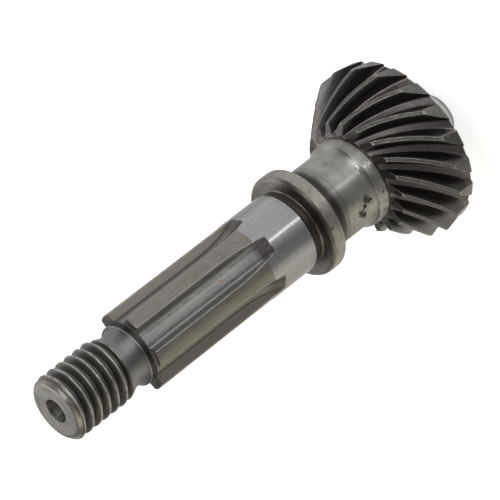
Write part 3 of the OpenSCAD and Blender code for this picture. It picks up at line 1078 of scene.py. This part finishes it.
def worn_steel(tones, at):
    """Sandy, grained collar and end bevel, with painted highlights on the collar's rounded edges, painted
    dark brown shade on the collar's face, darker towards the front, and painted shade in the relief and at
    the collar's back.
    """
    steel = Steel("worn_steel", tones.worn, 0.6)
    lines = steel.effect("Turning lines", Spacing=0.08 * MM, Drift=2.0)["Lines"]
    clouds = steel.tarnish(0.9, 0.11)
    grain = steel.times(clouds["Specks"], steel.ramp(clouds["Clouds"], 0.0, 1.0, 0.15, 1.0))
    steel.coat(grain, tones.worn_shade)
    # Wear on the collar's rounded edges paints highlight lines there.
    steel.coat(steel.rubbed(0.8, 0.5), tones.bright)
    # Painted dark reflection on the collar's front face, darker towards the front.
    forward = steel.split(steel.where())[1]
    film = steel.ramp(forward, -3.2 * MM, -5.2 * MM, 0.3, 0.92)
    steel.coat(steel.times(steel.rings((at.journal, 0.45)), film), tones.collar_face_shade)
    # Painted shade in the relief, along the journal's edge, and at the collar's back.
    relief = at.journal + at.shaft.relief_width
    steel.coat(steel.rings((relief - 0.45 * MM, 0.85), (at.collar, 0.3)), tones.stain_and_shade, 0.8)
    steel.coat(steel.rings((relief - 0.1 * MM, 0.25)), tones.stain_and_shade, 0.95)
    collar = at.shaft.collar_radius
    steel.coat(steel.spots((collar, -116.7, 24.1, 0.3), (collar, -145.6, 24.1, 0.28)), tones.stain_and_shade, 0.7)
    roughness = steel.ramp(clouds["Specks"], 0.0, 1.0, 0.34, 0.46)
    return steel.finish(roughness, (lines, 0.006), (clouds["Specks"], 0.008))


def spline_steel(tones, at):
    """Brown-grey crests of the spline, rubbed bright along their edges."""
    steel = Steel("spline_steel", tones.spline)
    streaks = steel.effect("Length streaks", Width=0.16 * MM, Stretch=9.0)["Streaks"]
    clouds = steel.tarnish(1.8, 0.12)
    steel.coat(steel.times(steel.ramp(streaks, 0.3, 0.7, 0.3, 1.0), clouds["Specks"]), tones.spline_shade)
    steel.coat(clouds["Clouds"], tones.spline_shade, 0.3)
    steel.coat(clouds["Pits"], tones.stain_and_shade, 0.3)
    steel.coat(steel.rubbed(0.5), tones.bright)
    roughness = steel.ramp(clouds["Specks"], 0.0, 1.0, 0.28, 0.44)
    return steel.finish(roughness, (streaks, 0.01), (clouds["Specks"], 0.006))


def groove_steel(tones, at):
    """Grey milled grooves with streaks along them and dark rough run-outs; painted shade along the feet of
    the teeth, at the spline's end and on the grooves far out to either side.
    """
    steel = Steel("groove_steel", tones.groove, 0.5, 0.0)
    streaks = steel.effect("Length streaks", Width=0.12 * MM, Stretch=40.0)["Streaks"]
    clouds = steel.tarnish(0.7, 0.1)
    steel.coat(steel.ramp(streaks, 0.35, 0.65), tones.groove_shade)
    steel.coat(clouds["Specks"], tones.spline_shade, 0.25)
    runout = steel.rings((at.runout_end, 2.2))
    steel.coat(steel.times(runout, steel.ramp(clouds["Clouds"], 0.0, 1.0, 0.55, 1.0)), tones.runout)
    steel.coat(steel.times(runout, clouds["Specks"]), tones.stain_and_shade, 0.4)
    # Painted shade on the grooves far out to either side along X.
    aside = steel.maths("ABSOLUTE", steel.split(steel.where())[0])
    steel.coat(steel.ramp(aside, 3.0 * MM, 3.6 * MM, 0.0, 0.7), tones.spline_shade)
    steel.coat(steel.spots((at.shaft.spline_root, -87, 38.1, 0.28)), tones.rust, 0.7)
    # Painted shade in the corner at the spline's end.
    steel.coat(steel.rings((at.neck, 0.15)), tones.stain_and_shade, 0.7)
    # Edges rubbed bright, and painted shade along the foot of the teeth.
    edges = steel.effect("Edge wear and shade", Amount=0.45)
    steel.coat(edges["Rubbed"], tones.bright)
    steel.coat(edges["Corner shade"], tones.stain_and_shade, 0.6)
    roughness = steel.plus(steel.ramp(clouds["Specks"], 0.0, 1.0, 0.28, 0.4), steel.times(runout, 0.15))
    return steel.finish(roughness, (streaks, 0.006), (clouds["Specks"], 0.01))


def thread_steel(tones, at):
    """Dark film in the thread, patchily rubbed along the crests."""
    steel = Steel("thread_steel", tones.thread_shade)
    clouds = steel.tarnish(1.5, 0.1)
    steel.coat(clouds["Clouds"], tones.spline_shade, 0.5)
    steel.coat(steel.rubbed(1.0, 0.7), tones.thread)
    nick = steel.spots((at.shaft.thread_radius, -88, 57.3, 0.18))
    steel.coat(steel.most([clouds["Pits"], nick]), tones.stain_and_shade, 0.6)
    return steel.finish(steel.ramp(clouds["Specks"], 0.0, 1.0, 0.3, 0.46), (clouds["Specks"], 0.01))


def flank_steel(tones, at):
    """Dark heat-treated flanks and toe faces with a brown film."""
    steel = Steel("flank_steel", tones.flank)
    clouds = steel.tarnish(1.2, 0.09)
    root, face = math.tan(at.pinion.root_angle), math.tan(at.pinion.face_angle)
    depth = steel.effect("Tooth depth", Apex=at.apex, Root=root, Face=0.6 * root + 0.4 * face)["Depth"]
    # The film is lightest along the fillets, a little above the root.
    fillet = steel.ramp(steel.apart(depth, 0.4), 0.4, 0.1, 0.5, 1.0)
    film = steel.times(fillet, steel.ramp(depth, 1.0, 0.8))
    steel.coat(steel.times(film, steel.ramp(clouds["Clouds"], 0.0, 1.0, 0.4, 1.0)), tones.root)
    steel.coat(steel.rubbed(0.7, 0.35), tones.land)
    return steel.finish(steel.ramp(clouds["Specks"], 0.0, 1.0, 0.26, 0.4), (clouds["Specks"], 0.008))


def land_steel(tones, at):
    """Grey grained tops and ends of the teeth with rubbed edges."""
    steel = Steel("land_steel", tones.land)
    lines = steel.effect("Turning lines", Spacing=0.06 * MM, Drift=4.0)["Lines"]
    clouds = steel.tarnish(1.0, 0.12)
    grain = steel.times(clouds["Specks"], steel.ramp(clouds["Clouds"], 0.0, 1.0, 0.5, 1.0))
    steel.coat(grain, tones.land_shade)
    steel.coat(steel.rubbed(0.7, 0.2), tones.bright)
    roughness = steel.ramp(clouds["Specks"], 0.0, 1.0, 0.18, 0.44)
    return steel.finish(roughness, (lines, 0.006), (clouds["Specks"], 0.035))


def end_steel(tones, at):
    """Pale turned end face with fine rings."""
    steel = Steel("end_steel", tones.end)
    turning = steel.effect("Turning lines", Spacing=0.08 * MM, Drift=1.0)
    clouds = steel.tarnish(1.6, 0.1)
    dull = steel.times(clouds["Clouds"], steel.ramp(turning["Bands"], 0.3, 0.7, 0.4, 1.0))
    steel.coat(dull, tones.end_shade)
    steel.coat(clouds["Pits"], tones.stain_and_shade, 0.3)
    return steel.finish(steel.ramp(turning["Bands"], 0.3, 0.7, 0.36, 0.5), (turning["Lines"], 0.007))


def hole_shade_steel(tones, at):
    """Painted shade inside the drilled centre: a dark tone with rough grey patches."""
    steel = Steel("hole_shade_steel", tones.hole)
    clouds = steel.tarnish(0.5, 0.1)
    steel.coat(clouds["Clouds"], tones.end_shade, 0.4)
    return steel.finish(steel.ramp(clouds["Specks"], 0.0, 1.0, 0.42, 0.6), (clouds["Specks"], 0.015))


def put(context, name, data):
    """A new object in the scene."""
    made = bpy.data.objects.new(name, data)
    context.scene.collection.objects.link(made)
    return made


class PINION_SHAFT_OT_body(bpy.types.Operator):
    """Build the whole shaft as one closed mesh with its steel finishes"""

    bl_idname = "pinion_shaft.body"
    bl_label = "Shaft body"

    def execute(self, context):
        shaft, pinion, tones = (getattr(context.scene, name) for name in ("shaft", "pinion", "tones"))
        at = Stations(shaft, pinion)
        skin = Skin()
        boss = stub_band(skin, shaft, at)
        back, toe = pinion_band(skin, shaft, pinion, at)
        rim, journal = hub_band(skin, shaft, at)
        runout, spline_end = spline_band(skin, shaft, at)
        neck, neck_top = neck_band(skin, shaft, at)
        run_up, thread_end = thread_band(skin, shaft, at)
        face = end_band(skin, shaft, at)
        for lower, upper, finish in (
            (boss, back, TURNED),
            (toe, rim, TURNED),
            (journal, runout, GROUND),
            (spline_end, neck, GROOVE),
            (neck_top, run_up, TURNED),
            (thread_end, face, END),
        ):
            skin.strip(lower, upper, finish)

        for make in (make_turning_effect, make_drawing_effect, make_tarnish_effect, make_wear_effect,
                     make_spot_effect, make_ring_effect, make_depth_effect):
            make()
        mesh = skin.mesh("shaft_body")
        for make in (ground_steel, turned_steel, worn_steel, spline_steel, groove_steel, thread_steel,
                     flank_steel, land_steel, end_steel, hole_shade_steel):
            mesh.materials.append(make(tones, at))
        body = put(context, "shaft_body", mesh)
        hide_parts(NODE)
        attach(body, "root")
        return {"FINISHED"}


def bare_material(name):
    """A material with no nodes yet, and its node tree."""
    material = bpy.data.materials.new(name)
    material.use_nodes = True
    material.node_tree.nodes.clear()
    return material, Nodes(material.node_tree)


def studio_paper(studio):
    """White paper that shows white to the camera and in the steel, and still takes the shadow."""
    material, nodes = bare_material("studio_paper")
    matte = nodes.add("ShaderNodeBsdfDiffuse", {"Color": studio.paper}).outputs[0]
    strength = nodes.times(nodes.seen_rays(), studio.glow)
    light = nodes.add("ShaderNodeEmission", {"Strength": strength}).outputs[0]
    both = nodes.add("ShaderNodeAddShader", {0: matte, 1: light}).outputs[0]
    nodes.add("ShaderNodeOutputMaterial", {"Surface": both})
    return material


class PINION_SHAFT_OT_stage(bpy.types.Operator):
    """Set up the camera, the white floor and the soft lamps"""

    bl_idname = "pinion_shaft.stage"
    bl_label = "Studio"

    def execute(self, context):
        studio = context.scene.studio
        self.camera(context, studio)
        self.floor(context, studio)
        self.sky(context, studio)
        white, warm = (1.0, 1.0, 1.0), studio.card_tint
        # Cards on the floor that only the steel sees. Each stop: turn, share of the glow, colour.
        self.card(context, "toned_card", 0.2 * MM, studio.cards, [
            (-180, 0.52, white), (-144, 0.63, warm), (-96, 0.78, warm), (-76, 0.95, warm), (-64, 0.8, warm),
            (-55, 0.48, warm), (-46, 0.31, white), (-24, 0.28, white), (-12, 0.41, white), (0, 0.74, white),
            (16, 0.84, white), (98, 0.9, white), (120, 0.54, white), (180, 0.52, white),
        ])
        self.card(context, "streak_card", 0.4 * MM, studio.streak, [(5, 1.0, white), (9, 1.0, white)])
        # Each lamp: name, power, colour, turn from the front, height angle, distance, width.
        for name, watts, tint, turn, rise, away, width in (
            ("key_lamp", studio.key_power, white, 34, 45, 0.55, 0.3),
            ("fill_lamp", studio.fill_power, white, 112, 25, 0.5, 0.35),
            ("back_lamp", studio.back_power, white, 160, 40, 0.5, 0.3),
            ("side_lamp", studio.side_power, studio.side_tint, -90, 45, 0.5, 0.4),
            ("warm_lamp", studio.warm_power, studio.side_tint, -92, 8, 0.5, 0.25),
        ):
            self.lamp(context, name, watts, tint, math.radians(turn), math.radians(rise), away, width)
        context.scene.view_settings.view_transform = "Standard"
        return {"FINISHED"}

    @staticmethod
    def towards(turn, rise):
        """Direction from the shaft: turn 0 is the front, and positive turns go to the right."""
        return Vector((math.sin(turn) * math.cos(rise), -math.cos(turn) * math.cos(rise), math.sin(rise)))

    def camera(self, context, studio):
        """The camera that the photo was fitted with."""
        data = bpy.data.cameras.new("photo_camera")
        data.lens, data.sensor_width, data.sensor_fit = studio.lens, 36.0, "HORIZONTAL"
        data.clip_start, data.clip_end = 0.01, 20.0
        camera = put(context, "photo_camera", data)
        back = self.towards(studio.azimuth, studio.elevation)
        right = Vector((math.cos(studio.azimuth), math.sin(studio.azimuth), 0.0))
        aim = Vector((0.0, 0.0, studio.aim_height)) + right * studio.aim_side
        camera.rotation_mode = "QUATERNION"
        level = (-back).to_track_quat("-Z", "Y")
        camera.rotation_quaternion = level @ Quaternion((0.0, 0.0, 1.0), studio.roll)
        camera.location = aim + back * studio.distance
        context.scene.camera = camera

    def floor(self, context, studio):
        """A wide sheet of white paper just under the shaft's foot."""
        half, below = 1.5, 0.01 * MM
        mesh = bpy.data.meshes.new("studio_floor")
        signs = ((-1, -1), (1, -1), (1, 1), (-1, 1))
        mesh.from_pydata([(x * half, y * half, -below) for x, y in signs], [], [(0, 1, 2, 3)])
        mesh.materials.append(studio_paper(studio))
        floor = put(context, "studio_floor", mesh)

    def card(self, context, name, height, glow, stops):
        """A fan on the floor that only the steel sees, toned from stop to stop round the shaft."""
        material, nodes = bare_material(name)
        x, y, _ = nodes.split(nodes.where())
        turn = nodes.maths("ARCTAN2", x, nodes.times(y, -1.0))
        first, last = stops[0][0], stops[-1][0]
        limits = {"Value": turn, "From Min": math.radians(first), "From Max": math.radians(last)}
        tones = nodes.add("ShaderNodeValToRGB", {0: nodes.add("ShaderNodeMapRange", limits).outputs[0]})
        tones.color_ramp.interpolation = "EASE"
        elements = tones.color_ramp.elements
        for index, (degrees, share, tint) in enumerate(stops):
            spot = (degrees - first) / (last - first)
            element = elements[index] if index == 0 else elements[-1] if spot == 1.0 else elements.new(spot)
            element.color = (*(share * part for part in tint), 1.0)
        light = nodes.add("ShaderNodeEmission", {"Color": tones.outputs[0], "Strength": glow}).outputs[0]
        nodes.add("ShaderNodeOutputMaterial", {"Surface": light})
        near, far, lift = 0.01, 0.6, Vector((0.0, 0.0, height))
        turns = np.radians(np.linspace(first, last, max(2, round((last - first) / 5))))
        corners = [self.towards(turn, 0.0) * away + lift for turn in turns for away in (near, far)]
        mesh = bpy.data.meshes.new(name)
        mesh.from_pydata(corners, [], [(k, k + 1, k + 3, k + 2) for k in range(0, len(corners) - 2, 2)])
        mesh.materials.append(material)
        card = put(context, name, mesh)
        card.visible_camera = card.visible_diffuse = card.visible_shadow = False

    def sky(self, context, studio):
        """Plain light all round, dimmer overhead."""
        world = bpy.data.worlds.new("studio_sky")
        context.scene.world = world
        world.use_nodes = True
        world.node_tree.nodes.clear()
        nodes = Nodes(world.node_tree)
        up = nodes.split(nodes.add("ShaderNodeTexCoord").outputs["Generated"])[2]
        light = nodes.ramp(up, 0.03, 0.35, 1.0, studio.ceiling)
        strength = nodes.times(light, nodes.ramp(nodes.seen_rays(), 0.0, 1.0, studio.sky, 1.0))
        inputs = {"Color": (1.0, 1.0, 1.0), "Strength": strength}
        nodes.add("ShaderNodeOutputWorld", {"Surface": nodes.add("ShaderNodeBackground", inputs).outputs[0]})

    def lamp(self, context, name, watts, tint, turn, rise, away, width):
        """A round soft lamp that faces the middle of the shaft."""
        data = bpy.data.lights.new(name, "AREA")
        data.shape, data.size, data.energy, data.color = "DISK", width, watts, tint
        lamp = put(context, name, data)
        direction = self.towards(turn, rise)
        lamp.location = direction * away + Vector((0.0, 0.0, CAD_BOX[1][2] / 2))
        lamp.rotation_mode = "QUATERNION"
        lamp.rotation_quaternion = (-direction).to_track_quat("-Z", "Y")


class PINION_SHAFT_PT_panel(bpy.types.Panel):
    """Sizes, tones and studio of the pinion shaft"""

    bl_idname = "PINION_SHAFT_PT_panel"
    bl_label = "Pinion shaft"
    bl_space_type = "VIEW_3D"
    bl_region_type = "UI"
    bl_category = "Pinion shaft"

    def draw(self, context):
        for operator in OPERATORS:
            self.layout.operator(operator.bl_idname)
        for name in GROUPS:
            box = self.layout.box()
            box.label(text=name.capitalize())
            group = getattr(context.scene, name)
            for key in group.bl_rna.properties.keys():
                if key not in {"name", "rna_type"}:
                    box.prop(group, key)


OPERATORS = (PINION_SHAFT_OT_body, PINION_SHAFT_OT_stage)
GROUPS = {"shaft": ShaftSizes, "pinion": PinionSizes, "tones": SteelTones, "studio": StudioSettings}


def register():
    for made in (*GROUPS.values(), *OPERATORS, PINION_SHAFT_PT_panel):
        bpy.utils.register_class(made)
    for name, group in GROUPS.items():
        setattr(bpy.types.Scene, name, PointerProperty(type=group))


def unregister():
    for name in GROUPS:
        delattr(bpy.types.Scene, name)
    for made in reversed((*GROUPS.values(), *OPERATORS, PINION_SHAFT_PT_panel)):
        bpy.utils.unregister_class(made)


def main():
    register()
    bpy.ops.pinion_shaft.body()
    bpy.ops.pinion_shaft.stage()


if __name__ == "__main__":
    main()
